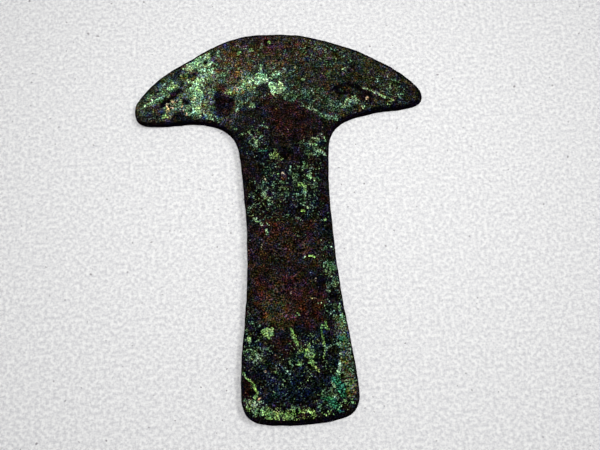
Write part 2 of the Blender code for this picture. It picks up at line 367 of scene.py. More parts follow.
# Stains of the bare metal, each laid over those before it.
ground = np.tile(tone(20, 20, 21), (total, 1))
stains = [
    # The right wing and the crown: grey-green, and browner along the outer edge.
    ((37, 40, 32), daubs((24, 48, 21, 15, -28, 1), (8, 50, 14, 14, 0, 1))),
    ((46, 42, 34), daubs((0, 60, 20, 7, 0, 1))),
    # The shank: brown, with an olive patch, redder places and two red specks above them.
    ((34, 26, 23), daubs((-2, -13, 12, 11, 0, 1), (-2, -27, 12, 10, 0, 1))),
    ((48, 42, 27), daubs((-5.6, -31.6, 4.6, 6, 0, 0.96), (-4, -35, 6, 3, 0, 0.86))),
    ((30, 21, 18), daubs((-4, -24, 2.2, 1.8, 0, 0.5))),
    ((35, 20, 17), daubs((5, -33, 5, 6, 0, 0.9), (0, -28, 2.5, 4, 0, 0.6))),
    ((66, 34, 30), daubs((0, 12.3, 0.9, 0.9, 0, 0.9), (9.8, 12.1, 0.6, 0.6, 0, 0.9))),
    # The foot: blue-black, with a red edge on the left and a red patch above it.
    ((15, 21, 24), daubs((-3, -56, 12, 6, 0, 1), (4, -46, 9, 8, 0, 0.8), (-11, -50, 5, 9, 0, 0.7))),
    ((36, 17, 17), daubs((-15.2, -55, 1.3, 3.6, 0, 0.9), (-2, -43.5, 4, 2.6, 0, 0.6))),
    # The neck, and a strip below it on the left: dark red-brown.
    ((28, 19, 17), daubs((4, 33, 8, 8, 0, 1), (9, 30, 5, 5, 0, 0.9), (-12, 13, 1.6, 6, 0, 0.6))),
    # The left wing and the middle: grey-green, brown towards the crown, and brassy in the middle,
    # where the brassy tone is partly the worn metal's colour and partly a painted sheen.
    ((60, 66, 56), daubs((-28, 46, 22, 14, 28, 1))),
    ((73, 68, 48), daubs(
        (-15.4, 52.2, 6.6, 3.4, 8, 0.9),
        (-12, 49, 4.8, 3, 0, 0.9),
        (1, 54.4, 2, 1.2, 0, 0.4),
    )),
    ((104, 112, 80), daubs((-11.5, 45.2, 3.6, 1.8, 0, 0.9), (-10.6, 48.8, 1.8, 1.8, 0, 0.9))),
    ((62, 52, 36), daubs((-14, 58, 7, 4.5, 20, 0.8))),
    ((45, 34, 27), daubs((-2, 62, 9, 3.2, 0, 0.9), (6, 60.5, 4, 2.4, -12, 0.6))),
    ((76, 92, 78), daubs(
        (-36, 48, 9, 4.5, 42, 0.6),
        (-29, 41, 8, 6, 0, 0.5),
        (-42, 40, 5, 3, 0, 0.4),
    )),
    # The right wing's darker hollows, and its cracks.
    ((31, 33, 27), daubs((28, 51.5, 7, 3, -28, 0.5))),
    ((31, 32, 18), daubs((24.8, 47.4, 3.6, 2.2, 0, 1))),
    ((30, 28, 20), daubs((24, 42.6, 3.4, 1.4, -10, 1), (29, 40, 3, 1.6, -30, 0.8))),
    ((8, 7, 10), right_cracks),
    # The dark hollow at the left wing's root, with brown ends.
    ((22, 17, 21), fields((1, *HOLLOW))),
    ((40, 26, 26), daubs((-18.9, 46.4, 2, 1.7, 0, 0.9), (-18.4, 37, 1.4, 1, 0, 0.8))),
    # Brown and blue-black spots of the middle and the left wing, and its crack.
    ((42, 36, 29), daubs((-8.7, 55.4, 1.4, 3.6, 0, 0.5), (-12.9, 53.2, 1.2, 1, 0, 0.4))),
    ((22, 23, 28), daubs((-5.4, 45.2, 1.8, 1.4, 0, 0.8), (-34.6, 51.6, 2, 1.8, 30, 0.9))),
    ((32, 38, 42), daubs((-28.2, 52.4, 2.1, 1.6, 10, 1), (-33.4, 54.4, 1.6, 1.3, 20, 1))),
    ((32, 30, 34), daubs(
        (-42, 38.6, 3.6, 2, 0, 0.9),
        (-41.6, 46.6, 2, 1.4, 30, 0.8),
        (-32.6, 48, 0.9, 2, 0, 0.9),
    )),
    ((66, 78, 76), daubs((-44, 41.6, 3, 2.4, 30, 0.5))),
    ((9, 9, 15), left_crack),
    ((14, 13, 18), daubs((-35.2, 45.6, 1.8, 1, 25, 1), (-43.4, 36.6, 3.2, 1.2, 0, 0.7))),
    ((66, 34, 36), daubs((-35.2, 45.1, 0.9, 0.5, 0, 0.7))),
    ((8, 10, 14), strokes((0.8, 1, *LEFT_NICK))),
    # The left wing's lower edge.
    ((20, 23, 26), fields((1, *LEFT_LOW_EDGE))),
    # Black hollows of the neck and the shank, pits by the crown, and the foot's dull right edge.
    ((7, 6, 8), daubs(
        (0.6, 20.8, 1.6, 2.2, 0, 1),
        (9, -25, 1.8, 4, 0, 0.8),
        (12.6, -29.4, 1.6, 1.4, 0, 0.8),
    )),
    ((10, 9, 14), daubs(
        (8.9, 60.3, 0.8, 0.6, 0, 1),
        (11.3, 60.4, 0.9, 0.7, 0, 1),
        (-24.4, 57.2, 0.7, 0.8, 0, 1),
    )),
    ((10, 8, 10), strokes((0.45, 0.8, (-3.2, 64.4), (-3, 63.2), (-1.8, 62.6)))),
    ((66, 77, 60), strokes((1.5, 0.9, (14.4, -37), (15.6, -47), (16.2, -60)))),
]
for dye, cover in stains:
    ground = stained(ground, dye, cover)

# Corrosion standing on the metal: a sage dust, pale mint, yellow-green moss, emerald and buff.
# Each list runs from the crown down to the foot.
LEAST_DUST = 0.05
sage = LEAST_DUST * on_face + daubs(
    (-6, 59.4, 1.2, 2.4, 0, 0.16),
    (17, 56.5, 12, 5.4, -24, 0.22),
    (-20.6, 56.4, 1.8, 3, 0, 0.26),
    (-13, 55, 8, 9, 0, 0.1),
    (2, 50, 8, 5, 0, 0.2),
    (-1.2, 49.2, 2.4, 1.4, 0, 0.4),
    (-13, 48.4, 1.8, 1.5, 0, 0.26),
    (-30, 46, 18, 11, 28, 0.31),
    (6.4, 46, 3, 2.6, 0, 0.22),
    (37, 44, 8, 6, -35, 0.17),
    (3.9, 41.4, 3, 2.8, 0, 0.5),
    (-3, 41, 6, 3, 0, 0.14),
    (12, 40, 9, 4, -20, 0.32),
    (-42, 39, 4, 3, 0, 0.2),
    (-9, 27, 4.2, 6, 0, 0.19),
    (10, 23, 4.5, 5, 0, 0.26),
    (-3, 17, 4, 5, 0, 0.22),
    (8, 16, 6, 2, 0, 0.26),
    (5, 13.6, 5, 2.4, 0, 0.3),
    (2.6, 10.4, 1.2, 1.8, 0, 0.26),
    (7, 8, 6, 8, 0, 0.24),
    (-5, 7, 7, 6, 0, 0.26),
    (-9, 1.2, 5, 1.8, 0, 0.32),
    (8, 0, 2, 1.8, 0, 0.24),
    (2, -1, 12, 3, 0, 0.16),
    (4, -7.6, 2.6, 2, 0, 0.15),
    (12.5, -22, 2.4, 12, 0, 0.24),
    (12.4, -32, 2.6, 4.4, 0, 0.34),
    (-13.8, -35.5, 1.4, 4, 0, 0.36),
    (-15.6, -42, 1, 2.6, 0, 0.4),
    (14.5, -42, 2.6, 6, 0, 0.4),
    (-12, -44, 5, 7, 0, 0.26),
    (3, -47.5, 8, 6, 0, 0.19),
    (17.2, -50, 1.3, 7, 0, 0.54),
    (13.5, -52, 3.5, 9, 0, 0.3),
    (-4, -56, 10, 4, 0, 0.15),
    (11, -59, 4, 1.8, 0, 0.44),
    (10, -63, 6, 2.4, 0, 0.3),
    (-5, -64.2, 12, 2.2, 0, 0.34),
)
mint = most(
    daubs(
        (17, 59.3, 3.6, 2.2, -22, 0.32),
        (19.6, 53, 2.4, 1.6, 0, 0.24),
        (-26.1, 52, 0.9, 0.8, 0, 0.7),
        (-30.2, 50, 0.8, 1.3, 0, 0.55),
        (-36.5, 49, 3.6, 2, 42, 0.3),
        (-25.6, 46.4, 1.2, 4, 0, 0.4),
        (-10.4, 44.4, 5, 1.5, 0, 0.36),
        (37, 43.5, 3.4, 2.6, 0, 0.16),
        (8, 42, 5, 3, 0, 0.2),
        (-13, 40.5, 4, 2.4, 0, 0.3),
        (-31.7, 39.8, 3.4, 2.4, 0, 0.48),
        (-14, 38, 1.2, 1.2, 0, 0.42),
        (18.6, 36.9, 3.8, 1.9, 0, 0.24),
        (19.8, 35.2, 1.2, 0.9, 0, 0.36),
        (-6, 7, 1.8, 1.8, 0, 0.46),
        (4.4, 5.8, 1, 1, 0, 0.34),
        (-5.6, 2, 0.9, 1.8, 0, 0.36),
        (14.2, -23, 0.9, 4, 0, 0.34),
        (-13.8, -40.7, 0.8, 0.9, 0, 0.76),
        (-14, -47.5, 2.2, 2, 0, 0.26),
        (-3, -50.5, 6, 1.6, 0, 0.26),
        (-10.8, -60.4, 0.9, 0.8, 0, 0.6),
    ),
    fields(
        (0.68, (-24, 59), (-21.8, 57.4), (-21.2, 52.8), (-22.8, 49.4), (-25.2, 50.4)),
        (
            0.86, (-32.4, 55.6), (-30, 57.4), (-27, 59.2), (-24.6, 60.8), (-22.8, 61), (-23, 58),
            (-24, 55), (-25, 51), (-26.2, 54.6), (-31, 54),
        ),
        (
            0.78, (-29, 49.4), (-26.6, 51.6), (-24.2, 50.6), (-24.9, 48.6), (-24.9, 43.5),
            (-26.4, 40), (-26.2, 36), (-28.2, 36.2), (-29.4, 38), (-28.9, 40), (-29.4, 43),
            (-29.9, 46.6),
        ),
        (
            0.58, (-2.3, 49.2), (-1.3, 51.8), (1.1, 52.6), (3.1, 52.4), (3.3, 50.6), (1.6, 49.6),
            (-0.7, 49.6),
        ),
        (
            1.08, (-8.6, 48.8), (-7.6, 49.8), (-6.2, 51), (-5.7, 54.2), (-5, 54), (-4.8, 50.8),
            (-3.4, 49.2), (-3.3, 48), (-5, 47), (-7, 46.8), (-8.6, 47.6),
        ),
        (
            0.96, (-3.3, 46.8), (-1.7, 47.8), (-0.4, 47.3), (1.4, 46.9), (1.5, 46), (2.6, 45),
            (2, 43.7), (0.8, 43), (-0.4, 42.6), (-2.3, 42.4), (-2.9, 44.2),
        ),
        (
            0.66, (-14.2, 46.4), (-12, 47.6), (-11.4, 49.4), (-9.2, 49.8), (-8.8, 46.2),
            (-10.6, 45.2), (-13, 44.8),
        ),
        (0.46, (-10.6, 37.6), (-9.8, 39.7), (-7.9, 39.9), (-8.4, 38.4)),
        (0.4, (-27.6, 37.4), (-23, 37.4), (-21.6, 35.2), (-24, 34.6), (-27, 35.2)),
        (
            0.64, (20.4, 36), (21.2, 37.6), (22.5, 39), (23.8, 40.3), (25.8, 40.2), (26.9, 39),
            (26.4, 37.4), (24.4, 37), (22, 36),
        ),
        (0.6, (26.6, 36), (27, 37.2), (28.6, 37.4), (28.9, 35.8)),
        (0.8, (8.2, 14.8), (8.9, 13), (9.3, 11.2), (8, 11), (7.6, 12)),
        (
            0.34, (8.2, -14), (10.6, -14.6), (13, -17.6), (15.2, -18.6), (14.6, -22), (11.4, -22),
            (8.6, -18.4),
        ),
        (0.42, (13, -23.6), (15.2, -20.6), (15.7, -25), (15.5, -29), (13.4, -27), (12.6, -25)),
        (0.76, (14.2, -30), (15, -29.6), (15.9, -35.2), (15.4, -37), (14.2, -35.4), (14.6, -33)),
        (0.42, (10.6, -33), (12, -33.4), (15, -33), (15.4, -35.6), (12.6, -35.8), (11, -34.8)),
        (
            0.5, (-16.4, -59.4), (-14, -59.8), (-12, -60.2), (-10, -60.4), (-8.6, -62.6),
            (-11, -64.4), (-14, -63.6), (-16, -61.4),
        ),
    ),
    strokes(
        (0.4, 0.5, (-4.6, 62.8), (-5, 61)),
        (0.6, 0.6, (-20, 61.4), (-19.9, 59.4)),
        (0.4, 0.7, (9.8, 60), (10.2, 60.1)),
        (0.3, 0.8, (3.2, 59.8), (2.7, 58.4)),
        (0.35, 0.6, (22, 50.9), (23.2, 51.4)),
        (0.4, 0.7, (-36, 49.8), (-34.8, 48.4)),
        (0.45, 0.75, (-38.4, 49.6), (-39, 47.6), (-38.5, 45.6), (-39.4, 44.2), (-42, 43.2)),
        (0.3, 0.9, (30.8, 48.9), (31.1, 49)),
        (0.5, 0.8, (-34, 48.4), (-35.2, 47.8), (-36.8, 47.4)),
        (0.4, 1.2, (-9.3, 48), (-8.9, 48.6)),
        (0.36, 0.9, (8.2, 47.8), (9, 47.7)),
        (0.45, 0.55, (37.6, 47.8), (38.6, 46.6), (40.6, 45.4)),
        (0.4, 0.6, (33.4, 47.4), (33.8, 45.8)),
        (0.4, 0.7, (-44, 44.4), (-42.6, 43.6)),
        (0.35, 0.46, (37.9, 44.4), (37.6, 42.4)),
        (
            0.36, 1, (28.5, 43.3), (29.2, 43), (30.5, 42.2), (31.6, 41.6), (33.4, 40.7),
            (35.1, 39.3), (36.6, 39),
        ),
        (0.6, 1, (-45, 41.3), (-42.4, 42.3), (-40.4, 43.6)),
        (0.35, 0.6, (40.2, 40.2), (42.2, 40.3)),
        (0.4, 0.9, (40.4, 39.2), (40.9, 39)),
        (0.3, 0.8, (-26, 38.4), (-24.8, 35)),
        (0.3, 0.7, (-0.2, 38), (-0.1, 37)),
        (0.7, 0.6, (8.6, 37.5), (12.2, 35.5), (13.8, 33.8), (18.4, 32)),
        (0.26, 0.7, (-24.6, 37.2), (-23.2, 34.4)),
        (0.28, 0.8, (-23, 36.2), (-22, 33.8)),
        (0.25, 0.6, (-21.6, 35.8), (-20.4, 33.8)),
        (0.5, 0.6, (18.6, 33.8), (19.3, 32.2)),
        (0.36, 0.7, (-6.8, 31.4), (-5.6, 30.8), (-4.4, 30.1)),
        (0.4, 0.8, (-15.2, 30.8), (-14.4, 30.7)),
        (0.4, 0.85, (-10.8, 29.3), (-10, 28.2), (-9, 26.6)),
        (0.4, 0.62, (-13.6, 28.4), (-12.2, 29), (-10.8, 29)),
        (0.5, 0.7, (10.6, 27.3), (11.1, 27.4)),
        (0.4, 0.5, (13, 27.2), (14, 26.2), (14.2, 24.4)),
        (0.34, 0.66, (-6.8, 26.9), (-7.9, 26), (-9.4, 24.4)),
        (0.6, 1, (-8.7, 26), (-8.2, 24)),
        (0.4, 0.65, (10, 25.6), (11.6, 25.6), (12.4, 24.4)),
        (0.5, 0.62, (7.6, 23.6), (9.4, 23.8), (11.4, 23.1)),
        (0.7, 0.72, (12, 21.3), (12.9, 20.6), (13.8, 19.8)),
        (0.4, 0.6, (10.2, 21.2), (11.8, 20.4)),
        (0.32, 0.8, (6.6, 17.4), (6.6, 14.8), (6.3, 13.2)),
        (0.32, 0.8, (2.6, 16.5), (2.1, 14.4)),
        (0.3, 0.5, (-9.6, 12.4), (-9.1, 10.7)),
        (0.3, 0.85, (9.7, 11), (9.9, 9.6)),
        (0.34, 0.9, (6.8, 6.6), (6.4, 4.9)),
        (0.28, 0.62, (-4.4, 5.3), (-5.6, 4.1)),
        (0.24, 0.8, (3.4, 4), (5.2, 2.4), (6.8, 1)),
        (0.42, 0.5, (6.8, 0.9), (7.5, 0.9)),
        (0.58, 0.8, (-10.1, -1.9), (-9.1, -2.9), (-8.1, -3.9)),
        (0.4, 0.6, (-7.4, -2.6), (-6, -4.4)),
        (0.48, 0.85, (-6.8, -6), (-6.1, -7.4)),
        (0.3, 0.6, (-1.2, -10.5), (-0.4, -10.9)),
        (0.45, 0.5, (13.5, -12.4), (13.6, -13)),
        (0.5, 0.7, (10.9, -13.6), (11.6, -12.8)),
        (0.4, 0.5, (4.3, -15.9), (5.3, -15.4)),
        (0.3, 0.55, (10.2, -28.4), (11.2, -27), (12, -27.6)),
        (0.3, 0.5, (8.2, -31), (9.6, -30.9)),
        (0.8, 0.3, (15, -36), (15.4, -40), (15, -44)),
        (0.28, 0.6, (-8.8, -43), (-9.8, -45.2), (-10.8, -47.4)),
        (0.45, 0.66, (-15, -44.2), (-13, -44.6), (-11.9, -45.4), (-11.6, -47.4), (-12.4, -48.4)),
        (0.45, 0.85, (9.4, -45.2), (11.2, -44.9), (13.2, -44.5)),
        (0.4, 0.7, (-14, -46.4), (-13, -47.4)),
        (0.6, 0.76, (14, -47.4), (13.6, -48.6), (13.3, -50.4), (12.8, -53.2)),
        (0.35, 0.5, (-5, -49), (-4, -47.9)),
        (0.35, 0.6, (-6.2, -51.8), (-4.4, -52.2)),
        (0.3, 0.75, (10.2, -55), (11.5, -57.4)),
        (0.3, 0.65, (10.6, -60), (11.8, -61.2), (13, -63.2)),
    ),
)
moss = most(
    daubs(
        (-2, 63.8, 0.45, 0.5, 0, 1.3),
        (-12, 62, 3, 1.2, 20, 0.12),
        (-8.4, 60.7, 0.8, 0.8, 0, 0.9),
        (-12.4, 59.6, 0.9, 0.8, 0, 0.7),
        (-16.4, 44.2, 1.4, 0.9, -25, 0.8),
        (38, 38.2, 0.7, 0.7, 0, 0.6),
        (-38.3, 36.9, 1.4, 0.9, 0, 0.74),
        (36.8, 36.8, 0.9, 0.5, 0, 0.5),
        (-2.6, 21.8, 0.9, 1, 0, 0.6),
        (-2.8, 19.4, 1, 1.4, 0, 0.62),
        (-2.2, 14.6, 0.7, 1.4, 0, 0.34),
        (12, -3.4, 0.8, 0.5, 0, 0.48),
        (1.7, -46, 0.6, 0.6, 0, 0.7),
        (1, -49.7, 0.9, 0.9, 0, 0.9),
        (-14.4, -58.4, 0.9, 0.5, 0, 0.5),
        (-14.6, -62.4, 1.5, 1, 30, 0.5),
    ),
    fields(
        (
            0.38, (-3.7, 21), (-2, 21), (-1.8, 19), (0.3, 18.8), (-0.3, 18), (-2, 17.8),
            (-3.2, 17.8), (-4, 18.6),
        ),
        (
            1.15, (-9.6, -38.6), (-8.4, -37.4), (-7, -37.6), (-6, -38.8), (-6.1, -40.2), (-7, -41),
            (-8.4, -41), (-9.2, -40),
        ),
        (
            1.4, (3.6, -45.1), (4.4, -44.2), (5.5, -45.6), (5.9, -48.2), (5.7, -50.2), (3.9, -50),
            (3, -47.6),
        ),
        (
            0.4, (-12, -61.6), (-8.6, -61.6), (-6, -62.8), (-2, -63.4), (3, -62.8), (5.2, -63.4),
            (5.6, -66.6), (0, -66.8), (-8, -66), (-13, -64.6),
        ),
        (0.92, (-10, -63.4), (-6, -63.4), (-2.2, -64), (-1.6, -66.6), (-5, -66.4), (-9.4, -65.6)),
        (
            0.25, (6.6, -64.2), (10, -64.4), (15, -61.4), (17, -58.6), (17, -62), (13, -66),
            (6.6, -66.6),
        ),
    ),
    strokes(
        (0.48, 1.25, (4.7, 9.3), (5.8, 8.8), (6.5, 7.9), (6.4, 6.9)),
        (0.34, 0.9, (4.9, 0), (5.7, -0.2)),
        (0.24, 1.2, (6.4, -15.5), (8, -15.8)),
        (0.3, 0.6, (0.8, -34.9), (1.2, -34), (2, -34.2), (1.9, -35)),
        (0.34, 0.95, (9.7, -36.8), (10.1, -38.4), (10.6, -39.5)),
        (0.32, 0.95, (8.9, -38), (8.8, -41), (8.9, -44.6)),
        (0.5, 1, (-0.8, -38.7), (-0.4, -40.6), (0.4, -42.5)),
        (0.45, 0.85, (0.4, -42.3), (1.3, -43.8)),
        (0.28, 0.8, (8.9, -44.6), (8.6, -48.4)),
        (0.4, 0.95, (5, -49.2), (5.8, -50.8), (6.9, -52.2)),
        (0.42, 1, (-16.2, -50.8), (-14.6, -53.4), (-12.5, -56.4), (-12.2, -57.8), (-13, -59.2)),
    ),
)
emerald = most(
    daubs(
        (24, 48.8, 2, 0.8, 0, 0.24),
        (8, 40.4, 4, 2, 0, 0.2),
        (-6, 22.3, 1.4, 0.7, 0, 0.5),
        (12.8, -19.2, 1.4, 2, 0, 0.66),
        (13.4, -34.4, 1.4, 0.8, 0, 0.5),
        (14.6, -42.4, 1, 1.1, 0, 0.7),
        (-6, -58.6, 2.5, 0.8, -10, 0.4),
        (15.4, -60.6, 1, 1.4, 0, 0.3),
    ),
    fields(
        (
            0.9, (10, -54.7), (12.6, -54.2), (13.6, -55.6), (14.4, -57.6), (14.6, -60.4),
            (13.2, -61), (12, -58.6),
        ),
        (
            0.72, (7.2, -60.6), (9.4, -60.1), (11.4, -61), (12.8, -62.6), (13.4, -65),
            (11.6, -65.3), (10.2, -62.8),
        ),
    ),
)
buff = most(
    daubs(
        (6.2, 52.4, 0.4, 0.6, -20, 0.8),
        (-35.2, 42, 0.9, 0.8, 0, 0.75),
        (-37.4, 41, 0.6, 1.2, 0, 0.6),
        (-35.6, 39.7, 0.7, 0.5, 0, 0.8),
        (-32.4, 39.4, 0.6, 1.2, 10, 0.6),
        (29.7, 39.4, 0.7, 0.8, 0, 0.7),
        (-37.2, 38.8, 0.8, 1.4, 0, 0.8),
        (-31.2, 37.4, 0.5, 0.8, 0, 0.6),
        (-14.8, 32, 0.8, 0.8, 0, 0.3),
        (14, 29.2, 0.5, 0.4, 0, 0.7),
        (-6.2, -46.6, 0.4, 0.5, 0, 0.8),
        (-9.3, -51.4, 0.6, 0.4, 0, 0.6),
        (-2.9, -55.4, 0.4, 0.5, 0, 0.5),
        (-11.6, -59.4, 0.9, 0.8, 0, 0.5),
    ),
    strokes(
        (0.3, 0.9, (-0.5, 14), (0.3, 13.2)),
        (0.45, 0.55, (-6.8, 12.2), (-5.5, 10.7)),
        (0.2, 0.6, (-8.2, -10), (-8.6, -12), (-9, -14.4)),
        (0.25, 0.8, (8.2, -22.6), (7.9, -23.8)),
        (0.25, 0.5, (0.1, -26.6), (-0.3, -27.8)),
        (0.16, 1.1, (6, -29.5), (7.6, -29.5)),
    ),
)

# Where the ground lies bare, in hollows and worn brown places, the dust and the mint are gone.
bare = most(
    daubs(
        (-24.4, 57.2, 0.7, 0.8, 0, 1),
        (-25.9, 55, 1, 1.1, 0, 0.5),
        (-33.4, 54.2, 1.8, 1.5, 20, 0.8),
        (-28.6, 52.3, 2.2, 1.6, 10, 1),
        (-34.6, 51.6, 2.3, 1.8, 30, 1),
        (-25.7, 48.7, 0.6, 0.8, 0, 0.5),
        (-32.6, 48, 0.9, 2, 0, 0.7),
        (24.6, 47.6, 3.8, 1.8, 0, 0.7),
        (-33.6, 47.6, 1.4, 1, 0, 0.6),
        (-38.8, 47.3, 1.2, 1.2, 0, 0.5),
        (-19, 46.6, 1.6, 1.8, 0, 0.9),
        (-5.4, 45.2, 1.8, 1.4, 0, 0.8),
        (-42, 45.2, 1.4, 1, 0, 0.4),
        (14.6, 42.4, 1, 1, 0, 0.6),
        (-26.6, 41.3, 1, 1.3, 0, 0.6),
        (12.7, 39.6, 1, 0.8, 0, 0.5),
        (-42, 38.4, 3.4, 2, 0, 0.5),
        (0.6, 20.8, 2.2, 2.6, 0, 1),
        (4.4, 17.6, 1.6, 1.4, 0, 0.5),
        (12, -8, 2, 3, 0, 0.8),
        (9, -25, 1.8, 4, 0, 0.9),
        (13, -29.6, 1.4, 2, 0, 0.9),
        (-9.6, -42.4, 1.2, 1.6, 0, 0.5),
        (7.6, -46.4, 1, 1.1, 0, 0.7),
        (12.2, -47, 1.6, 2.6, 0, 0.9),
        (11.4, -62.4, 1, 0.8, 0, 0.6),
    ),
    fields(
        (
            0.9, (-6, 39), (-1, 41), (2, 40.3), (6.6, 37.4), (12, 34.4), (17, 31), (14, 28),
            (9, 26), (2, 24), (0, 30), (-4, 33), (-8, 35),
        ),
        (1, *HOLLOW),
        (0.9, *LEFT_LOW_EDGE),
    ),
    strokes((1, 1, *LEFT_NICK), (1.2, 1, *LEFT_CRACK)),
    right_cracks,
)
sage *= 1 - bare
mint *= 1 - bare

# A strip of the face along the rim is dyed near-black like the sides, and where the rim faces
# the foot's end it is widened with painted shade. It is broadest along the cutting edge and
# above the foot's end, less broad along the crescent's lower edges, and narrow down the
# shank. These widths are in mm, and its inner edge is soft.
STRIP, STRIP_FLECK = 0.15, 0.1
SHADE_STRIP_AT_LOWER_EDGES, SHADE_STRIP_AT_FOOT, STRIP_AT_CUTTING_EDGE = 0.5, 0.3, 0.8
STRIP_SOFTNESS = 0.25
faces_foot = np.clip(rim_faces_down, 0, 1)
dark_and_shade_strip = STRIP + STRIP_FLECK * coarse_fleck + SHADE_STRIP_AT_LOWER_EDGES * faces_foot
dark_and_shade_strip += np.clip(-rim_faces_down, 0, STRIP_AT_CUTTING_EDGE)
dark_and_shade_strip += SHADE_STRIP_AT_FOOT * faces_foot * smooth_step(-60, -64, place[:, 1])
black_to, gone_at = (1 - STRIP_SOFTNESS) * dark_and_shade_strip, (1 + STRIP_SOFTNESS) * dark_and_shade_strip
# The strip's cover: near-black dye, with painted shade along the edges that face the foot's end. The
# crusts are cleared from it.
edge = on_face * (1 - smooth_step(black_to, gone_at, from_rim / MM))
ground = stained(ground, (7, 6, 9), edge)
sage *= 1 - edge
mint *= 1 - edge
moss *= 1 - edge
emerald *= 1 - edge


def behind(low, high, size, octaves, seed):
    """Cover on the back, where noise with lumps of this size in mm rises from low to high."""
    return on_back * smooth_step(low, high, rough(size, octaves, seed))


# The back wears the face's patina in broader, plainer patches.
ground = stained(ground, (44, 32, 26), behind(-0.8, 0.6, 16, 2, 23))
ground = stained(ground, (24, 27, 24), behind(0.2, 1.2, 11, 2, 24))
BACK_SAGE, BACK_MINT, BACK_MOSS = 0.34, 0.55, 0.5
# The sides are painted near-black, dark patina with painted shade over it, and blackest where
# they face up or down the knife.
LEAST_SIDE_DARK_AND_SHADE = 0.5
side_dark_and_shade = LEAST_SIDE_DARK_AND_SHADE + (1 - LEAST_SIDE_DARK_AND_SHADE) * np.abs(rim_faces_down)
ground = stained(ground, (5, 3, 7), on_side * side_dark_and_shade)
sage += BACK_SAGE * on_back
mint = most(mint, BACK_MINT * behind(0.5, 2, 9, 3, 21))
moss = most(moss, BACK_MOSS * behind(0.9, 2.2, 7, 3, 22))

# How strong the flecks are, and the cover from which they are at their strongest.
COARSE_FLECKS, FINE_FLECKS, FLECKED_WHOLE = 0.12, 0.09, 0.3


def flecked(cover):
    """A patch's cover, broken up at its edge and thinned by flecks."""
    flecks = COARSE_FLECKS * coarse_fleck + FINE_FLECKS * fine_fleck
    return cover + smooth_step(0, FLECKED_WHOLE, cover) * flecks


crusts = {
    "sage": flecked(sage),
    "emerald": flecked(emerald),
    "mint": flecked(mint),
    "moss": flecked(moss),
    "buff": flecked(buff),
}

# The crusts are palest on the left wing and by the crown, and duller at the neck, down the
# shank's right side and under the right wing.
BLOOM = 0.65
bloom = BLOOM + daubs(
    (-12, 57, 10, 7, 0, 0.3),
    (-25, 47, 9, 12, 0, 0.2),
    (-3, 47, 8, 5, 0, 0.25),
    (-40, 43, 8, 6, 35, 0.45),
    (7, -15.3, 1.4, 1, 0, 0.4),
    (-7.6, -39.2, 2.4, 2.4, 0, 0.3),
    (12.4, -57.5, 3, 5, 0, 0.1),
)
bloom -= daubs(
    (16, 37, 9, 7, -25, 0.12),
    (11, 22, 4, 5, 0, 0.12),
    (-1, 21, 6, 6, 0, 0.2),
    (13, -24, 3, 10, 0, 0.2),
)

# From one millimetre to the next the ground is deeper or thinner, and everything warmer,
# greener or bluer. Blue swings the most. Pits are darkened whatever covers them, with dirt
# and with painted shade.
DEPTH_SWING, GROUND_HUE_SWING, HUE_SWING = 0.26, 0.15, 0.11
BLUE_SWING, BLUE_LOSS = 1.6, 0.25
PIT_DIRT_AND_SHADE = 0.72
ground *= np.exp(DEPTH_SWING * rough(2.2, 3, 11) * (1 - on_side))[:, None]
warmth, coolness = rough(2.6, 3, 12), rough(2, 3, 13)
hue_drift = np.column_stack([warmth, np.zeros(total), BLUE_SWING * coolness - BLUE_LOSS])
ground *= np.exp(GROUND_HUE_SWING * hue_drift)
pits = smooth_step(0.7, 1.5, rough(0.85, 2, 34)) * (1 - on_side)
tint_and_pit_shade = np.exp(HUE_SWING * hue_drift) * (1 - PIT_DIRT_AND_SHADE * pits)[:, None]

# Relief, in mm. Hammering left the faces gently uneven. Corrosion ate pits into the metal, and
# the crusts stand on it in grains, so each one has its own thickness.
HAMMERED, DIMPLED, GRAINED, PITTED = 0.07, 0.035, 0.016, 0.09
LEFT_CRACK_DEPTH, RIGHT_CRACK_DEPTH, HOLLOW_DEPTH = 0.3, 0.2, 0.2
CRUST_MM = {"sage": 0.04, "emerald": 0.14, "mint": 0.13, "moss": 0.2, "buff": 0.16}
CRUST_GRAINS = 0.3
# The cover at which a crust begins to show, shows whole and stands at its full thickness.
CRUST_FROM, CRUST_WHOLE, CRUST_STANDS = 0.42, 0.58, 0.66
relief = HAMMERED * rough(9, 2, 31) + DIMPLED * rough(3.4, 2, 32) + GRAINED * rough(0.8, 2, 33)
relief -= PITTED * pits
for name, cover in crusts.items():
    stands = smooth_step(CRUST_FROM, CRUST_STANDS, cover)
    relief += CRUST_MM[name] * stands * (1 + CRUST_GRAINS * fine_fleck)
relief -= LEFT_CRACK_DEPTH * left_crack
relief -= RIGHT_CRACK_DEPTH * strokes((0.7, 1, *RIGHT_CRACK))
relief -= HOLLOW_DEPTH * daubs(
    (24, 42.6, 4, 1.8, -10, 1),
    (-18, 39.6, 2.6, 4, 8, 1),
    (0.6, 20.8, 1.8, 2.4, 0, 1),
)
place += normals * relief[:, None]
place[:, 2] = np.maximum(place[:, 2], 0)
points = place * MM
skin.vertices.foreach_set("co", points.ravel())
skin.update()
skin.shade_smooth()

for name, values in (("ground", ground), ("tint_and_pit_shade", tint_and_pit_shade)):
    skin.attributes.new(name, "FLOAT_VECTOR", "POINT").data.foreach_set("vector", values.ravel())
for name, cover in (*crusts.items(), ("bloom", bloom)):
    skin.attributes.new(name, "FLOAT", "POINT").data.foreach_set("value", cover)

# The patina's material. Dull and porous: the stained ground is grained with dark and light
# specks, and each crust shows through only where its cover beats the noise.
patina = bpy.data.materials.new("patinated_copper")
patina.use_nodes = True
nodes, wires = patina.node_tree.nodes, patina.node_tree.links
surface = nodes["Principled BSDF"]
FINE_GRAIN, MIDDLE_GRAIN = 0.44 * MM, 1.4 * MM
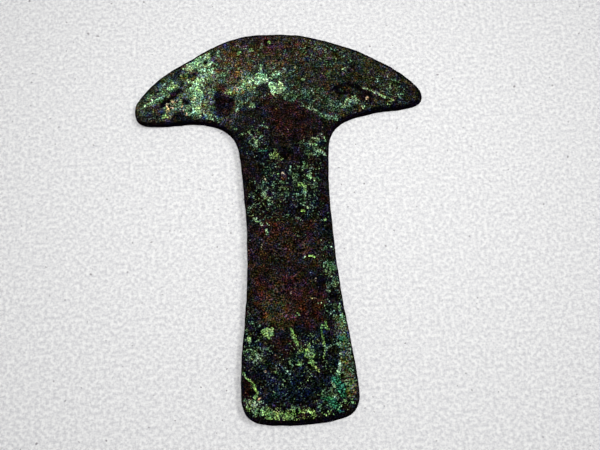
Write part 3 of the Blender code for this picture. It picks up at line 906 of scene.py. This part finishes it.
# The speckle's middle, and how strongly its lightness and its hue swing. Blue swings more.
GROUND_LEVEL, GROUND_GRAIN, GROUND_HUE = 0.925, 5.9, 2.4
CRUST_LEVEL, CRUST_GRAIN, CRUST_HUE = 0.96, 4.4, 0.7
BLUE_HUE = 1.35
SPECKLE_POWER = 2.2
# Noise that breaks up a crust's edge, noise that mixes its tones, and how the light one comes in.
CRUST_NOISE, LIGHT_NOISE = 1.5, 0.5
LIGHT_FROM, LIGHT_WHOLE = 0.54, 0.98
METAL_ROUGHNESS, CRUST_ROUGHNESS = 0.62, 0.87
BUMP_STRENGTH, BUMP_HEIGHT = 0.6, 0.12 * MM
# Each crust's tones, dark and light.
CRUST_TONES = {
    "sage": ((36, 51, 40), (104, 133, 98)),
    "emerald": ((12, 58, 44), (64, 136, 100)),
    "mint": ((85, 123, 87), (184, 226, 175)),
    "moss": ((69, 100, 57), (157, 198, 118)),
    "buff": ((120, 108, 88), (194, 180, 150)),
}


def add(kind, values, **settings):
    """A new node with its settings, and each of its inputs set to a value or wired to a socket."""
    made = nodes.new(kind)
    for name, setting in settings.items():
        setattr(made, name, setting)
    for name, value in values.items():
        if isinstance(value, bpy.types.NodeSocket):
            wires.new(value, made.inputs[name])
        else:
            made.inputs[name].default_value = value
    return made


def sums(first, by, plus):
    """One value times another, plus a third."""
    return add("ShaderNodeMath", {0: first, 1: by, 2: plus}, operation="MULTIPLY_ADD").outputs[0]


def ramp(value, low, high):
    """0 below low, 1 above high, and a smooth rise between them, as nodes."""
    values = {"Value": value, "From Min": low, "From Max": high}
    return add("ShaderNodeMapRange", values, interpolation_type="SMOOTHSTEP").outputs[0]


def mixed(share, below, above):
    """One colour laid over another by this share."""
    return add("ShaderNodeMix", {0: share, 6: below, 7: above}, data_type="RGBA").outputs[2]


def stored(name, output):
    """What the mesh holds under this name."""
    return add("ShaderNodeAttribute", {}, attribute_name=name).outputs[output]


def opaque(colour):
    """A colour given as 0 to 255, as a colour socket takes it."""
    return (*tone(*colour), 1)


here = add("ShaderNodeTexCoord", {}).outputs["Object"]
fine = add("ShaderNodeTexNoise", {"Vector": here, "Scale": 1 / FINE_GRAIN, "Detail": 1})
middle = add("ShaderNodeTexNoise", {"Vector": here, "Scale": 1 / MIDDLE_GRAIN, "Detail": 2})
fine_parts = add("ShaderNodeSeparateColor", {"Color": fine.outputs["Color"]}).outputs
middle_parts = add("ShaderNodeSeparateColor", {"Color": middle.outputs["Color"]}).outputs


def speckle(middle_level, grain, hue):
    """Light and dark grains round 1, each a little redder or bluer than the next."""
    level = sums(fine.outputs["Fac"], grain, middle_level - grain / 2)
    red = sums(fine_parts[1], hue, sums(level, 1.0, -hue / 2))
    blue = sums(fine_parts[2], BLUE_HUE * hue, sums(level, 1.0, -BLUE_HUE * hue / 2))
    shares = []
    for shade in (red, level, blue):
        light = add("ShaderNodeMath", {0: shade, 1: 0.0}, operation="MAXIMUM").outputs[0]
        steep = add("ShaderNodeMath", {0: light, 1: SPECKLE_POWER}, operation="POWER")
        shares.append(steep.outputs[0])
    return add("ShaderNodeCombineXYZ", dict(enumerate(shares))).outputs[0]


def times(first, second):
    """Two colours multiplied."""
    return add("ShaderNodeVectorMath", {0: first, 1: second}, operation="MULTIPLY").outputs[0]


colour = times(stored("ground", "Vector"), speckle(GROUND_LEVEL, GROUND_GRAIN, GROUND_HUE))
crust_speckle = times(speckle(CRUST_LEVEL, CRUST_GRAIN, CRUST_HUE), stored("bloom", "Vector"))
crusted = 0.0
for number, (name, (dark, light)) in enumerate(CRUST_TONES.items()):
    cover = sums(fine_parts[number % 3], CRUST_NOISE, stored(name, "Fac"))
    share = ramp(cover, CRUST_FROM + CRUST_NOISE / 2, CRUST_WHOLE + CRUST_NOISE / 2)
    lightness = sums(fine_parts[(number + 2) % 3], LIGHT_NOISE, middle_parts[(number + 1) % 3])
    light_share = ramp(lightness, LIGHT_FROM, LIGHT_WHOLE)
    crust = mixed(light_share, opaque(dark), opaque(light))
    colour = mixed(share, colour, times(crust, crust_speckle))
    crusted = add("ShaderNodeMath", {0: share, 1: crusted}, operation="MAXIMUM").outputs[0]
wires.new(times(colour, stored("tint_and_pit_shade", "Vector")), surface.inputs["Base Color"])
roughness = sums(crusted, CRUST_ROUGHNESS - METAL_ROUGHNESS, METAL_ROUGHNESS)
wires.new(roughness, surface.inputs["Roughness"])
surface.inputs["Specular IOR Level"].default_value = 0.0
grains = {"Height": fine.outputs["Fac"], "Strength": BUMP_STRENGTH, "Distance": BUMP_HEIGHT}
bump = add("ShaderNodeBump", grains)
wires.new(bump.outputs["Normal"], surface.inputs["Normal"])
skin.materials.append(patina)

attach(knife, "root")
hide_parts("tumi_knife")

# The sheet it lies on. Plain off-white paper, faintly mottled, with a few darker fibres. It
# lies a hair below the knife's back, so that the two never share a plane.
PAPER_HALF = 1.5
PAPER_LEVEL = -0.03 * MM
PULP_SIZE, FIBRE_SIZE = 1.1 * MM, 1.6 * MM
PULP_DARK, PULP_LIGHT, FIBRE = (208, 208, 211), (250, 250, 249), (150, 146, 150)
PULP_FROM, PULP_WHOLE = 0.3, 0.7
FIBRE_FROM, FIBRE_WHOLE = 0.73, 0.8
paper_mesh = bpy.data.meshes.new("paper")
corners = [(x, y, PAPER_LEVEL) for x in (-PAPER_HALF, PAPER_HALF) for y in (-PAPER_HALF, PAPER_HALF)]
paper_mesh.from_pydata(corners, [], [(0, 2, 3, 1)])
paper = bpy.data.objects.new("paper", paper_mesh)
bpy.context.scene.collection.objects.link(paper)
stock = bpy.data.materials.new("paper_stock")
stock.use_nodes = True
# From here on, add() puts its nodes into the paper's material.
nodes, wires = stock.node_tree.nodes, stock.node_tree.links
surface = nodes["Principled BSDF"]
here = add("ShaderNodeTexCoord", {}).outputs["Object"]
cloud = {"Vector": here, "Scale": 1 / PULP_SIZE, "Detail": 3, "Roughness": 0.7}
pulp = ramp(add("ShaderNodeTexNoise", cloud).outputs["Fac"], PULP_FROM, PULP_WHOLE)
sheet_colour = mixed(pulp, opaque(PULP_DARK), opaque(PULP_LIGHT))
specks = add("ShaderNodeTexNoise", {"Vector": here, "Scale": 1 / FIBRE_SIZE, "Detail": 1})
fibres = ramp(specks.outputs["Fac"], FIBRE_FROM, FIBRE_WHOLE)
sheet_colour = mixed(fibres, sheet_colour, opaque(FIBRE))
wires.new(sheet_colour, surface.inputs["Base Color"])
surface.inputs["Roughness"].default_value = 0.9
surface.inputs["Specular IOR Level"].default_value = 0.1
paper_mesh.materials.append(stock)

# Soft studio light: a key lamp high on the right that throws a faint shadow to the left, a
# nearer fill lamp from the camera's side that pools a little light round the knife, and a
# little light from an even pale room.
ROOM_LIGHT = 0.2


def soft_lamp(name, aim, azimuth, elevation, distance, size, spread, power):
    """A square lamp, so many degrees round from +X and up, seen from the point it is aimed at."""
    round_by, up_by = math.radians(azimuth), math.radians(elevation)
    toward = Vector((math.cos(round_by), math.sin(round_by), math.tan(up_by))).normalized()
    bulb = bpy.data.lights.new(name, "AREA")
    bulb.size = size
    bulb.spread = math.radians(spread)
    bulb.energy = power
    lamp = bpy.data.objects.new(name, bulb)
    lamp.location = Vector(aim) + toward * distance
    lamp.rotation_euler = toward.to_track_quat("Z", "Y").to_euler()
    bpy.context.scene.collection.objects.link(lamp)


soft_lamp(
    "key_lamp", (0, 0, 0),
    azimuth=2, elevation=61, distance=2.4, size=0.6, spread=180, power=18.4,
)
soft_lamp(
    "fill_lamp", (0.012, 0.045, 0),
    azimuth=-94, elevation=76, distance=0.6, size=0.12, spread=60, power=0.245,
)
room = bpy.data.worlds.new("pale_room")
room.use_nodes = True
background = room.node_tree.nodes["Background"]
background.inputs["Color"].default_value = (1, 1, 1, 1)
background.inputs["Strength"].default_value = ROOM_LIGHT
bpy.context.scene.world = room
bpy.context.scene.view_settings.view_transform = "Standard"

# The camera looks down at the knife from its foot, tilted a little from straight above,
# with the knife turned slightly anticlockwise in the picture.
TILT = math.radians(20)
TURN = math.radians(3.7)
CAMERA_DISTANCE = 0.325
AIM = Vector((4.28, -3.05, 0)) * MM
LENS = 60
camera_data = bpy.data.cameras.new("camera")
camera_data.lens = LENS
camera_data.clip_start = 0.01
camera = bpy.data.objects.new("camera", camera_data)
camera.rotation_euler = (TILT, 0, -TURN)
sideways = math.sin(TILT)
back_off = Vector((-sideways * math.sin(TURN), -sideways * math.cos(TURN), math.cos(TILT)))
camera.location = AIM + back_off * CAMERA_DISTANCE
bpy.context.scene.collection.objects.link(camera)
bpy.context.scene.camera = camera
